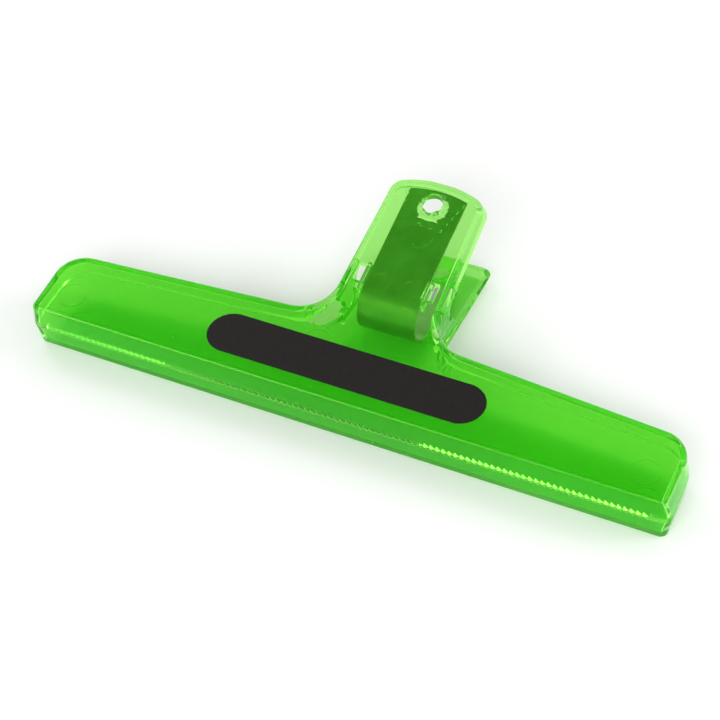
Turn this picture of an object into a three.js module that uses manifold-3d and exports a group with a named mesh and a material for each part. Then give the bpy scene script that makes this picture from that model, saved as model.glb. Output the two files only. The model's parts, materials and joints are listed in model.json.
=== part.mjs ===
// Wide-jaw spring clip: two moulded T-shaped plastic halves that rock on each other at a pair of
// ears, and one flat steel spring bent in a U that pushes the handles apart and the jaws together.
//
// The clip is drawn in its own frame: X along the jaw, Y from the toothed mouth to the handle tip,
// Z square to the parting plane between the halves. The whole clip is then tipped to lie on a table,
// on the rear jaw's mouth edge and the rear handle's tip. Millimetres throughout.
import * as THREE from 'three';
import { mergeVertices } from 'three/addons/utils/BufferGeometryUtils.js';
import Module from 'manifold-3d';

// Driving dimensions
const jawHalfLength = 101.6;
const jawHeight = 8.5; // parting plane to the outside of the jaw panel, at the mouth
const jawSlope = 0.0128; // fall of the jaw panel per mm of Y
const jawBackAtMiddle = 32.3; // Y of the jaw's back edge, carried on to the middle
const jawBackTaper = 0.07; // the back edge comes forward by this much per mm of X
const jawEndSlant = 0.04; // the free edge at each end comes in by this much per mm of Y
const handleHalfWidth = 17.35; // at the pivot
const handleTaper = 0.036; // half width lost per mm of Y
const handleSlope = 0.185; // rise of the handle plate per mm of Y
const handleBendY = 29; // where the jaw panel turns up into the handle plate
const handleBendReach = 4; // the bend is eased over this much each side
const wall = 1.7;
const flangeDepth = 4.1; // handle plate's outside down to its free edge
const partingGap = 0.3;

const mouthCornerRadius = 3;
const backCornerRadius = 10.5;
const neckRadius = 10;
const tipCornerRadius = 3.5;
const edgeRadius = 1.4;
const insideEdgeRadius = 0.6;

// Draft: how much narrower the outside is at the panel than at the free edge
const endDraft = 1.45;
const mouthDraft = 0.45;
const backDraft = 1.2;
const sideDraft = 1.2;
const tipDraft = 1.2;

const frontTipY = 82.7;
const frontTipSag = 3.7; // the front handle's end is arched
const rearTipY = 78.7;
const rearTipSag = 0.1; // the rear handle's end is nearly straight

const toothPitch = 1.873;
const toothEndMargin = 6; // plain edge past the row at each end
const toothHeight = 1.2;
const toothLean = 0.7; // share of the pitch taken by the long flank
const toothGap = 0.5;
const toothRowGap = 0.3; // past each end of the row, where the front half's plain edge starts

const pivotY = 43;
const noseRadius = 3.2;
const noseClearance = 0.3;
const earThickness = 1.7;
const earInset = 0.75; // ear's outside in from the flange's free edge
const earFrontY = 37;
const earBackY = 51.1;

const springHalfWidth = 9.3;
const springThickness = 0.7;
const springGap = 0.35; // leg to the plate's inside
const springBendY = 45;
const springFrontEndY = 79.2;
const springFrontEndSag = 1.3;
const springRearEndY = 66;
const springHoleRadius = 4.7;

const hangHoleY = 73.4;
const hangHoleRadius = 3.2;

const windowInnerX = 9.2;
const windowOuterX = 13;
const windowFrontY = 42.5;
const windowBackY = 48.5;

const ribGap = 0.4; // spring's edge to the guide rib
const ribThickness = 1.1;
const ribOverhangY = 1.6; // rib past each end of the window
const lipReach = 1.1; // how far the lip reaches under the spring's edge
const lipGap = 0.35;
const lipThickness = 1;

const ridgeFirstY = 65.8;
const ridgePitch = 2.62;
const ridgeWidth = 1.3;
const ridgeHeight = 0.5;
const ridgeRadius = 35;
const ridgeCount = 6; // where the flat part has room for them
const ridgeFirstHalfLength = 6.3;
const ridgeLengthStep = 0.77;

const cutMargin = 4; // how far a cutter runs past what it cuts
const rootDepth = 0.8; // how far an added feature is sunk into its wall

const toothCount = Math.floor((2 * (jawHalfLength - toothEndMargin)) / toothPitch);

const wasm = await Module();
wasm.setup();

// Solids

function toManifold(geometry) {
  const bare = geometry.clone();
  bare.deleteAttribute('normal');
  bare.deleteAttribute('uv');
  const merged = mergeVertices(bare, 1e-4);
  return new wasm.Manifold(new wasm.Mesh({
    numProp: 3,
    vertProperties: new Float32Array(merged.attributes.position.array),
    triVerts: new Uint32Array(merged.index.array),
  }));
}

function toGeometry(manifold) {
  const mesh = manifold.getMesh();
  const geometry = new THREE.BufferGeometry();
  geometry.setAttribute('position', new THREE.BufferAttribute(mesh.vertProperties, 3));
  geometry.setIndex(new THREE.BufferAttribute(mesh.triVerts, 1));
  geometry.computeVertexNormals();
  return geometry;
}

function box(low, high) {
  const size = high.map((value, axis) => value - low[axis]);
  const geometry = new THREE.BoxGeometry(...size);
  geometry.translate(...low.map((value, axis) => value + size[axis] / 2));
  return toManifold(geometry);
}

function cylinderAlongZ(radius, y, lowZ, highZ) {
  const geometry = new THREE.CylinderGeometry(radius, radius, highZ - lowZ, 32);
  geometry.rotateX(Math.PI / 2);
  geometry.translate(0, y, (lowZ + highZ) / 2);
  return toManifold(geometry);
}

// A shape drawn in (Y, Z) and extruded from lowX to highX
function prismAlongX(shape, lowX, highX, curveSegments = 10) {
  const geometry = new THREE.ExtrudeGeometry(shape, {
    depth: highX - lowX, bevelEnabled: false, curveSegments,
  });
  geometry.applyMatrix4(new THREE.Matrix4().set(
    0, 0, 1, lowX,
    1, 0, 0, 0,
    0, 1, 0, 0,
    0, 0, 0, 1,
  ));
  return toManifold(geometry);
}

// A shape drawn in (X, Z) and extruded from lowY to highY
function prismAlongY(shape, lowY, highY) {
  const geometry = new THREE.ExtrudeGeometry(shape, { depth: highY - lowY, bevelEnabled: false });
  geometry.rotateX(Math.PI / 2);
  geometry.translate(0, highY, 0);
  return toManifold(geometry);
}

// Heights of the shell over the parting plane

function panelZ(y) {
  const past = THREE.MathUtils.clamp(y - handleBendY, -handleBendReach, handleBendReach);
  const eased = (past + handleBendReach) ** 2 / (4 * handleBendReach);
  const beyond = Math.max(0, y - handleBendY - handleBendReach);
  return jawHeight - jawSlope * y + (handleSlope + jawSlope) * (eased + beyond);
}

function rimZ(y) {
  const flangeZ = panelZ(y) - flangeDepth;
  const rise = THREE.MathUtils.smoothstep(y, handleBendY, handleBendY + neckRadius / 2);
  return THREE.MathUtils.lerp(partingGap / 2, flangeZ, rise);
}

function handleHalfWidthAt(y) {
  return handleHalfWidth - handleTaper * (y - pivotY);
}

// Replaces each corner that has a radius with an arc. The first and last corners only give directions.
function roundCorners(corners) {
  const points = [];
  for (let i = 1; i < corners.length - 1; i += 1) {
    const here = new THREE.Vector2(corners[i].x, corners[i].y);
    if (!corners[i].radius) {
      points.push(here);
      continue;
    }
    const back = new THREE.Vector2(corners[i - 1].x, corners[i - 1].y).sub(here).normalize();
    const ahead = new THREE.Vector2(corners[i + 1].x, corners[i + 1].y).sub(here).normalize();
    const halfAngle = Math.acos(back.dot(ahead)) / 2;
    const middle = back.clone().add(ahead).normalize();
    const centre = here.clone().addScaledVector(middle, corners[i].radius / Math.sin(halfAngle));
    const reach = corners[i].radius / Math.tan(halfAngle);
    const from = here.clone().addScaledVector(back, reach).sub(centre);
    const to = here.clone().addScaledVector(ahead, reach).sub(centre);
    const turn = Math.atan2(from.cross(to), from.dot(to));
    for (let k = 0; k <= corners[i].steps; k += 1) {
      points.push(from.clone().rotateAround(new THREE.Vector2(), turn * k / corners[i].steps).add(centre));
    }
  }
  return points;
}

// Right-hand half of the T-shaped outline, from the mouth to the handle tip.
// draft is 0 at the free edge and 1 at the panel; inset is a further distance inwards all round.
function halfOutline(tip, draft, inset) {
  const slant = jawEndSlant * (1 - draft);
  const endX = (y) => jawHalfLength - slant * y - endDraft * draft - inset;
  const mouthY = mouthDraft * draft + inset;
  const backY = (x) => jawBackAtMiddle - jawBackTaper * x - backDraft * draft - inset;
  const cornerX = (endX(0) - slant * backY(0)) / (1 - slant * jawBackTaper);
  const sideX = (y) => handleHalfWidthAt(y) - sideDraft * draft - inset;
  const tipY = tip.y - tipDraft * draft - inset;
  const shoulderY = tipY - tip.sag;
  const shoulderX = sideX(shoulderY);
  const archSteps = 5;
  const smallestRadius = 0.5;
  const convex = (radius) => Math.max(radius - draft - inset, smallestRadius);
  const corners = [
    { x: 0, y: mouthY },
    { x: endX(mouthY), y: mouthY, radius: convex(mouthCornerRadius), steps: 3 },
    { x: cornerX, y: backY(cornerX), radius: convex(backCornerRadius), steps: 6 },
    { x: sideX(backY(0)), y: backY(sideX(backY(0))), radius: neckRadius + draft + inset, steps: 8 },
    { x: shoulderX, y: shoulderY, radius: convex(tipCornerRadius), steps: 4 },
  ];
  for (let k = 1; k < archSteps; k += 1) {
    const x = shoulderX * (1 - k / archSteps);
    corners.push({ x, y: tipY - tip.sag * (x / shoulderX) ** 2 });
  }
  corners.push({ x: 0, y: tipY });
  return roundCorners(corners);
}

// One closed shell, made of rings that run over the outside, round the free edge and up the inside
function shell(tip) {
  const rings = [];
  const addRing = (draft, inset, heightAt) => {
    const right = halfOutline(tip, draft, inset);
    const left = right.map((point) => new THREE.Vector2(-point.x, point.y)).reverse();
    rings.push([...right, ...left].map((point) => [point.x, point.y, heightAt(point.y)]));
  };
  const edgeSteps = 3;
  for (let k = 0; k <= edgeSteps; k += 1) {
    const angle = (Math.PI / 2) * (k / edgeSteps);
    const inset = edgeRadius * (1 - Math.sin(angle));
    const drop = edgeRadius * (1 - Math.cos(angle));
    addRing(1, inset, (y) => panelZ(y) - drop);
  }
  addRing(0, 0, rimZ);
  addRing(0, wall, rimZ);
  addRing(1, wall, (y) => panelZ(y) - wall - insideEdgeRadius);
  addRing(1, wall + insideEdgeRadius, (y) => panelZ(y) - wall);

  const count = rings[0].length;
  const index = [];
  const at = (ring, i) => ring * count + (i % count);
  for (let ring = 0; ring < rings.length - 1; ring += 1) {
    for (let i = 0; i < count; i += 1) {
      index.push(at(ring + 1, i), at(ring + 1, i + 1), at(ring, i + 1));
      index.push(at(ring + 1, i), at(ring, i + 1), at(ring, i));
    }
  }
  // The panel is a ladder of flat strips from side to side, so it bends cleanly along X
  const last = rings.length - 1;
  for (let i = 0; i < count / 2 - 1; i += 1) {
    const across = count - 1 - i;
    index.push(at(0, i), at(0, i + 1), at(0, across - 1));
    index.push(at(0, i), at(0, across - 1), at(0, across));
    index.push(at(last, i), at(last, across - 1), at(last, i + 1));
    index.push(at(last, i), at(last, across), at(last, across - 1));
  }
  const geometry = new THREE.BufferGeometry();
  geometry.setAttribute('position', new THREE.Float32BufferAttribute(rings.flat(2), 3));
  geometry.setIndex(index);
  return toManifold(geometry);
}

// Saw teeth along the mouth edge. The rear half is drawn upside down and turned over afterwards,
// so its teeth are the front's, read backwards: they mesh with toothGap between them.
function toothStrip(isFront) {
  const endX = jawHalfLength - mouthCornerRadius;
  const flatZ = partingGap / 2;
  const rowX = toothCount * toothPitch / 2;
  const flatX = isFront ? rowX + toothRowGap : rowX;
  const rootZ = (toothGap + toothHeight) / 2;
  const crestZ = (toothGap - toothHeight) / 2;
  const topZ = rootZ + rootDepth;
  const startZ = isFront ? rootZ : crestZ;
  const turnZ = isFront ? crestZ : rootZ;
  const turnShare = isFront ? toothLean : 1 - toothLean;
  const profile = new THREE.Shape();
  profile.moveTo(-endX, topZ);
  profile.lineTo(-endX, flatZ);
  profile.lineTo(-flatX, flatZ);
  if (isFront) profile.lineTo(-flatX, startZ);
  for (let k = 0; k < toothCount; k += 1) {
    const startX = -rowX + k * toothPitch;
    profile.lineTo(startX, startZ);
    profile.lineTo(startX + turnShare * toothPitch, turnZ);
  }
  profile.lineTo(rowX, startZ);
  if (isFront) profile.lineTo(flatX, startZ);
  profile.lineTo(flatX, flatZ);
  profile.lineTo(endX, flatZ);
  profile.lineTo(endX, topZ);
  return prismAlongY(profile, 0, wall);
}

// Room in the mouth wall for both rows of teeth
function toothRelief() {
  const reliefX = toothCount * toothPitch / 2 + toothRowGap;
  const highZ = (toothGap + toothHeight) / 2 + rootDepth / 2;
  return box([-reliefX, -cutMargin, -cutMargin], [reliefX, mouthDraft + wall + insideEdgeRadius, highZ]);
}

// Front ears end in a round nose centred on the pivot
function noseEar() {
  const shape = new THREE.Shape();
  const shoulderZ = noseRadius;
  const startAngle = Math.PI * 1.06;
  const endAngle = Math.PI * 2.06; // the round goes on a little, to clear the cradle when opened
  shape.moveTo(earFrontY, rimZ(earFrontY) + rootDepth);
  shape.lineTo(earFrontY, rimZ(earFrontY) - rootDepth);
  shape.quadraticCurveTo(
    pivotY - noseRadius,
    shoulderZ + 1,
    pivotY + noseRadius * Math.cos(startAngle),
    noseRadius * Math.sin(startAngle),
  );
  shape.absarc(pivotY, 0, noseRadius, startAngle, endAngle, false);
  shape.quadraticCurveTo(pivotY + noseRadius + 1, shoulderZ + 1, earBackY, rimZ(earBackY) - rootDepth);
  shape.lineTo(earBackY, rimZ(earBackY) + rootDepth);
  return shape;
}

// Rear ears end in a cradle that the noses sit in
function cradleEar() {
  const cradleRadius = noseRadius + noseClearance;
  const hornAngle = THREE.MathUtils.degToRad(22);
  const hornZ = cradleRadius * Math.sin(hornAngle);
  const hornWidth = 2;
  const hornInnerY = cradleRadius * Math.cos(hornAngle);
  const shape = new THREE.Shape();
  shape.moveTo(earFrontY, rimZ(earFrontY) + rootDepth);
  shape.lineTo(earFrontY, rimZ(earFrontY) - rootDepth);
  shape.lineTo(pivotY - hornInnerY - hornWidth, hornZ);
  shape.lineTo(pivotY - hornInnerY, hornZ);
  shape.absarc(pivotY, 0, cradleRadius, Math.PI - hornAngle, hornAngle, true);
  shape.lineTo(pivotY + hornInnerY + hornWidth, hornZ);
  shape.lineTo(earBackY, rimZ(earBackY) - rootDepth);
  shape.lineTo(earBackY, rimZ(earBackY) + rootDepth);
  return shape;
}

// Same feature on the right and on the left
function bothSides(rightManifold) {
  return rightManifold.add(rightManifold.mirror([1, 0, 0]));
}

function ears(shape) {
  const outerX = handleHalfWidthAt(earBackY) - earInset;
  return bothSides(prismAlongX(shape, outerX - earThickness, outerX));
}

// Guide ribs beside the spring. In the front half each has a lip in the window, which hooks under
// the spring's edge.
function springGuides(hasLips) {
  const ribX = springHalfWidth + ribGap;
  const insideZ = (y) => panelZ(y) - wall;
  const lipTop = springGap + springThickness + lipGap;
  const lipBottom = lipTop + lipThickness;
  const frontY = windowFrontY - ribOverhangY;
  const backY = windowBackY + ribOverhangY;
  const rib = new THREE.Shape();
  rib.moveTo(frontY, insideZ(frontY) + rootDepth);
  rib.lineTo(frontY, insideZ(frontY) - lipBottom);
  rib.lineTo(backY, insideZ(backY) - lipBottom);
  rib.lineTo(backY, insideZ(backY) + rootDepth);
  const ribSolid = prismAlongX(rib, ribX, ribX + ribThickness);
  if (!hasLips) return bothSides(ribSolid);
  const lip = new THREE.Shape();
  lip.moveTo(windowFrontY, insideZ(windowFrontY) - lipTop);
  lip.lineTo(windowFrontY, insideZ(windowFrontY) - lipBottom);
  lip.lineTo(windowBackY, insideZ(windowBackY) - lipBottom);
  lip.lineTo(windowBackY, insideZ(windowBackY) - lipTop);
  const lipSolid = prismAlongX(lip, springHalfWidth - lipReach, ribX + ribThickness / 2);
  return bothSides(ribSolid.add(lipSolid));
}

function windows() {
  const lowZ = jawHeight - flangeDepth;
  const highZ = panelZ(windowBackY) + cutMargin;
  return bothSides(box([windowInnerX, windowFrontY, lowZ], [windowOuterX, windowBackY, highZ]));
}

// Arched finger ridges across the handle plate's outside, as many as its flat part has room for
function gripRidges(tip) {
  const lastY = tip.y - tipDraft - edgeRadius - ridgeWidth / 2;
  const ridges = [];
  for (let k = 0; k < ridgeCount; k += 1) {
    const apexY = ridgeFirstY + ridgePitch * k;
    if (apexY > lastY) break;
    const halfAngle = Math.asin((ridgeFirstHalfLength + ridgeLengthStep * k) / ridgeRadius);
    const [from, to] = [Math.PI / 2 - halfAngle, Math.PI / 2 + halfAngle];
    const band = new THREE.Shape();
    band.absarc(0, apexY - ridgeRadius, ridgeRadius + ridgeWidth / 2, from, to, false);
    band.absarc(0, apexY - ridgeRadius, ridgeRadius - ridgeWidth / 2, to, from, true);
    const geometry = new THREE.ExtrudeGeometry(band, {
      depth: ridgeHeight + rootDepth, bevelEnabled: false, curveSegments: 8,
    });
    geometry.applyMatrix4(new THREE.Matrix4().set(
      1, 0, 0, 0,
      0, 1, 0, 0,
      0, handleSlope, 1, panelZ(apexY) - rootDepth - handleSlope * apexY,
      0, 0, 0, 1,
    ));
    ridges.push(toManifold(geometry));
  }
  return wasm.Manifold.union(ridges);
}

// One half, drawn with its panel upwards
function clipHalf(tip, isFront) {
  const hole = cylinderAlongZ(hangHoleRadius, hangHoleY, 0, panelZ(hangHoleY) + cutMargin);
  const plain = shell(tip)
    .subtract(toothRelief())
    .add(toothStrip(isFront))
    .add(gripRidges(tip));
  return (isFront ? plain.subtract(windows()) : plain)
    .add(springGuides(isFront))
    .add(ears(isFront ? noseEar() : cradleEar()))
    .subtract(hole);
}

// Flat strip bent in a U round the pivot, one leg along the inside of each handle
function leafSpring() {
  const slopeAngle = Math.atan(handleSlope);
  const legZ = (y) => panelZ(springFrontEndY) - wall - springGap - handleSlope * (springFrontEndY - y);
  const outerRadius = legZ(springBendY) * Math.cos(slopeAngle);
  const innerRadius = outerRadius - springThickness;
  const startAngle = Math.PI / 2 + slopeAngle;
  const legPoint = (y, depth) => [y + depth * Math.sin(slopeAngle), legZ(y) - depth * Math.cos(slopeAngle)];
  const side = new THREE.Shape();
  const frontEnd = legPoint(springFrontEndY, 0);
  const rearEnd = legPoint(springRearEndY, 0);
  const frontInside = legPoint(springFrontEndY, springThickness);
  const rearInside = legPoint(springRearEndY, springThickness);
  side.moveTo(frontEnd[0], frontEnd[1]);
  side.absarc(springBendY, 0, outerRadius, startAngle, 2 * Math.PI - startAngle, false);
  side.lineTo(rearEnd[0], -rearEnd[1]);
  side.lineTo(rearInside[0], -rearInside[1]);
  side.absarc(springBendY, 0, innerRadius, 2 * Math.PI - startAngle, startAngle, true);
  side.lineTo(frontInside[0], frontInside[1]);
  const strip = prismAlongX(side, -springHalfWidth, springHalfWidth, 14);

  const plan = new THREE.Shape();
  const lowY = springBendY - outerRadius - cutMargin;
  const cornerY = springFrontEndY - springFrontEndSag;
  plan.moveTo(-springHalfWidth - cutMargin, lowY);
  plan.lineTo(springHalfWidth + cutMargin, lowY);
  plan.lineTo(springHalfWidth + cutMargin, cornerY);
  plan.lineTo(springHalfWidth, cornerY);
  plan.quadraticCurveTo(0, cornerY + 2 * springFrontEndSag, -springHalfWidth, cornerY);
  plan.lineTo(-springHalfWidth - cutMargin, cornerY);
  const tall = panelZ(frontTipY);
  const planGeometry = new THREE.ExtrudeGeometry(plan, { depth: 2 * tall, bevelEnabled: false });
  planGeometry.translate(0, 0, -tall);
  return strip
    .intersect(toManifold(planGeometry))
    .subtract(cylinderAlongZ(springHoleRadius, hangHoleY, 0, tall));
}

// Materials

const greenPlastic = new THREE.MeshStandardMaterial({
  color: 0x3fae22, roughness: 0.18, metalness: 0, transparent: true, opacity: 0.75,
});
const springSteel = new THREE.MeshStandardMaterial({ color: 0x7d8388, roughness: 0.35, metalness: 1 });

function namedMesh(name, manifold, material) {
  const mesh = new THREE.Mesh(toGeometry(manifold), material);
  mesh.name = name;
  return mesh;
}

// Assembly

const frontTip = { y: frontTipY, sag: frontTipSag };
const rearTip = { y: rearTipY, sag: rearTipSag };
const frontHalf = namedMesh('front_half', clipHalf(frontTip, true), greenPlastic);
const rearHalf = namedMesh('rear_half', clipHalf(rearTip, false), greenPlastic);
rearHalf.rotation.y = Math.PI;
const spring = namedMesh('leaf_spring', leafSpring(), springSteel);

// Lying on a table, the clip touches it with the rear jaw and with the rear handle. Each round tips
// the clip until the lowest point on either side of the pivot is level with the other.
function restAngle(mesh) {
  const points = mesh.geometry.attributes.position;
  let angle = 0;
  for (let round = 0; round < 12; round += 1) {
    const lowest = { jaw: null, handle: null };
    for (let i = 0; i < points.count; i += 1) {
      const point = new THREE.Vector3(0, points.getY(i), -points.getZ(i));
      const side = point.y < pivotY ? 'jaw' : 'handle';
      point.applyAxisAngle(new THREE.Vector3(1, 0, 0), angle);
      if (!lowest[side] || point.z < lowest[side].z) lowest[side] = point;
    }
    const { jaw, handle } = lowest;
    angle -= Math.atan2(handle.z - jaw.z, handle.y - jaw.y);
  }
  return angle;
}

const clip = new THREE.Group();
clip.add(frontHalf, rearHalf, spring);
clip.rotation.x = restAngle(rearHalf);

const part = new THREE.Group();
part.add(clip);
part.updateMatrixWorld(true);
const bounds = new THREE.Box3().setFromObject(part, true);
const centre = bounds.getCenter(new THREE.Vector3());
clip.position.set(-centre.x, -centre.y, -bounds.min.z);

export default part;
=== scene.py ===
# %% [markdown]
# # A wide-jaw spring clip
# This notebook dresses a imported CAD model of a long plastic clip. The real clip is two T-shaped
# halves moulded in clear green plastic, with a flat steel spring bent in a U between their handles.
# Each half is built again here with finer roundings than the CAD solid has, in its exact place.

# %% Load the frame and keep its box
import json
import math

import bmesh
import bpy
from mathutils import Matrix, Vector


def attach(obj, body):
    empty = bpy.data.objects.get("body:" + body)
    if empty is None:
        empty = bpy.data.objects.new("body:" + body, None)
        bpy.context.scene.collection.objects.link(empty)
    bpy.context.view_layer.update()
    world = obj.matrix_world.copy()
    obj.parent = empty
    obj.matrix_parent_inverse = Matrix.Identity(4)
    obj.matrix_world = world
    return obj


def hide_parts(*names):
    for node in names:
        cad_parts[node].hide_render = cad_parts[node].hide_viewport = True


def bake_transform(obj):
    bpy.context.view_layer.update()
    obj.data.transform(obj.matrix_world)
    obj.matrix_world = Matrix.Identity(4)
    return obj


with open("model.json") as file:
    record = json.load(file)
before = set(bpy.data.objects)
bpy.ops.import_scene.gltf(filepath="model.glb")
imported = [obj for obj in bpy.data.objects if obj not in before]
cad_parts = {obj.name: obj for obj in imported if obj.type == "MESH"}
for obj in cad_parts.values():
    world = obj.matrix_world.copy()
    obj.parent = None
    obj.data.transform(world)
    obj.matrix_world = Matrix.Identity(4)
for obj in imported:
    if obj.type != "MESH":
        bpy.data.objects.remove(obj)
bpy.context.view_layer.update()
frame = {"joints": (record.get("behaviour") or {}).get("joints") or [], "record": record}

# %% [markdown]
# ## Working in the clip's own frame
# The clip lies tipped over on the table, so its panels aren't level. Drawing it tipped would make
# every number awkward. Each piece is drawn in the clip's own frame instead, in millimetres: X along
# the jaw, Y from the mouth to the handle tip, and Z square to the plane where the halves meet. One
# matrix then lays the finished mesh in its place. It is worked out from the record: the hang hole's
# axis gives the tip angle, and the hinge gives the position.

# %% The matrix from the clip's frame to the table
PIVOT_Y = 43.0
hinge = frame["joints"][0]
hole_axis = next(m["axis"] for m in frame["record"]["mounts"] if m["name"] == "hang_hole")
TIP_ANGLE = math.atan2(-hole_axis[1], hole_axis[2])
to_table = (
    Matrix.Translation(Vector(hinge["pos_m"]))
    @ Matrix.Rotation(TIP_ANGLE, 4, "X")
    @ Matrix.Scale(0.001, 4)
    @ Matrix.Translation((0, -PIVOT_Y, 0))
)
turned_over = Matrix.Rotation(math.pi, 4, "Y")
print("tipped by", round(math.degrees(TIP_ANGLE), 2), "degrees")

# %% [markdown]
# ## The camera
# The clip was pictured from above its mouth and a little to the right, with a long lens and the
# camera rolled a few degrees. The camera is placed in the clip's frame and carried to the table by
# the same matrix as the pieces.

# %% Camera
CAMERA_AT = Vector((210.9, -325.5, 497.4))
CAMERA_AZIMUTH = math.radians(31.46)
CAMERA_ELEVATION = math.radians(50.63)
CAMERA_ROLL = math.radians(8.35)


def camera_matrix():
    az, el, roll = CAMERA_AZIMUTH, CAMERA_ELEVATION, CAMERA_ROLL
    view = Vector((-math.sin(az) * math.cos(el), math.cos(az) * math.cos(el), -math.sin(el)))
    right = Vector((math.cos(az), math.sin(az), 0))
    down = view.cross(right)
    right, down = (
        math.cos(roll) * right + math.sin(roll) * down,
        math.cos(roll) * down - math.sin(roll) * right,
    )
    turn = Matrix((right, -down, -view)).transposed()
    place = to_table @ Matrix.Translation(CAMERA_AT) @ turn.to_4x4()
    return Matrix.LocRotScale(place.translation, place.to_quaternion(), None)


camera_data = bpy.data.cameras.new("camera")
camera_data.lens = 110
camera_data.sensor_width = 36
camera = bpy.data.objects.new("camera", camera_data)
camera.matrix_world = camera_matrix()
bpy.context.scene.collection.objects.link(camera)
bpy.context.scene.camera = camera
print("camera at", [round(v, 3) for v in camera.location])

# %% [markdown]
# ## Sizes of a half
# Both halves are the same T, moulded with draft: the walls lean in from the free edge to the panel.
# The jaw's panel falls a little towards the handle, then turns up into the handle's plate, so its
# height is a function of Y. All sizes are in millimetres.

# %% Sizes
JAW_HALF_LENGTH = 101.6
JAW_HEIGHT = 8.5
JAW_SLOPE = 0.0128
BACK_Y = 32.3
BACK_TAPER = 0.07
SIDE_X = 17.35  # half the handle's width at the pivot
SIDE_TAPER = 0.036
NECK_BEFORE_PIVOT = 12.0
SLOPE = 0.185
BEND_Y = 29.0
BEND_REACH = 4.0
WALL = 1.7
FLANGE_DEPTH = 4.1
PARTING = 0.15
DRAFT = 1.2
END_EXTRA_DRAFT = 0.25
END_SLANT = 0.04
MOUTH_LESS_DRAFT = 0.66
FILLET = 1.4
INSIDE_FILLET = 0.35
MOUTH_RADIUS = 3.1
BACK_RADIUS = 10.5
NECK_RADIUS = 10.5
TIP_RADIUS = 3.5
TIP_FLAT = 0.22  # share of the arched tip that is straight in the middle
TIP_CUTS = 13
RIM_RISE = 5.0  # the free edge rises to the handle's over this length
MOUTH_ZONE = 5.5  # what lies before this Y belongs to the mouth wall
HANDLE_CUTS = [60.0, 70.0]
CUT_SHIFT = 0.013  # keeps a cut off the points that are already there


def panel_rise(y):
    """How far the outside of the panel has risen at y above its height at the mouth."""
    past = min(max(y - BEND_Y, -BEND_REACH), BEND_REACH)
    eased = (past + BEND_REACH) ** 2 / (4 * BEND_REACH)
    beyond = max(0, y - BEND_Y - BEND_REACH)
    return (SLOPE + JAW_SLOPE) * (eased + beyond) - JAW_SLOPE * y


def panel_z(y):
    return JAW_HEIGHT + panel_rise(y)


def rim_z(y):
    """Height of the free edge: at the parting plane along the jaw, then up under the handle."""
    t = min(max((y - BEND_Y) / RIM_RISE, 0), 1)
    rise = t * t * (3 - 2 * t)
    return (1 - rise) * PARTING + rise * (panel_z(y) - FLANGE_DEPTH)


# %% [markdown]
# ## Helpers for bmesh
# A corner in a flat outline is rounded with a vertex bevel, whose offset along both edges follows
# from the radius wanted. Solids are joined and cut with the exact boolean, because a moulded part
# has no skins inside it, and clear plastic would show them.


# %% Helpers
def new_object(name, bm):
    mesh = bpy.data.meshes.new(name)
    bm.to_mesh(mesh)
    bm.free()
    obj = bpy.data.objects.new(name, mesh)
    bpy.context.scene.collection.objects.link(obj)
    return obj


def round_corner(bm, vert, radius, segments):
    """Rounds one corner of a flat outline to a radius."""
    first, second = [e.other_vert(vert).co - vert.co for e in vert.link_edges]
    reach = radius / math.tan(first.angle(second) / 2)
    bmesh.ops.bevel(
        bm, geom=[vert], offset=reach, offset_type="OFFSET", segments=segments,
        profile=0.5, affect="VERTICES", material=-1,
    )


def boolean(target, tool, operation):
    """Joins or cuts target with tool, keeps the result as plain mesh and removes the tool."""
    cut = target.modifiers.new("cut", "BOOLEAN")
    cut.object = tool
    cut.operation = operation
    cut.solver = "EXACT"
    depsgraph = bpy.context.evaluated_depsgraph_get()
    result = bpy.data.meshes.new_from_object(target.evaluated_get(depsgraph))
    target.modifiers.clear()
    target.data = result
    bpy.data.objects.remove(tool)


def mirrored(bm):
    """Adds the same geometry on the other side of X = 0."""
    copy = bmesh.ops.duplicate(bm, geom=bm.verts[:] + bm.edges[:] + bm.faces[:])["geom"]
    verts = [g for g in copy if isinstance(g, bmesh.types.BMVert)]
    bmesh.ops.scale(bm, vec=(-1, 1, 1), verts=verts)
    faces = [g for g in copy if isinstance(g, bmesh.types.BMFace)]
    bmesh.ops.reverse_faces(bm, faces=faces)


def open_edges(obj):
    bm = bmesh.new()
    bm.from_mesh(obj.data)
    count = sum(1 for e in bm.edges if not e.is_manifold)
    bm.free()
    return count


# %% [markdown]
# ## The T-shaped shell
# A shell with draft is what inset does best. The outline is one face at the free edge. Inset and
# lifted, it becomes the panel, and leaves leaning walls behind it. A second face closes the open
# side; inset by the wall thickness it leaves the rim, and inset again and pushed up it hollows the
# inside. The edges are then bevelled and the whole thing is bent up at the handle.


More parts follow.
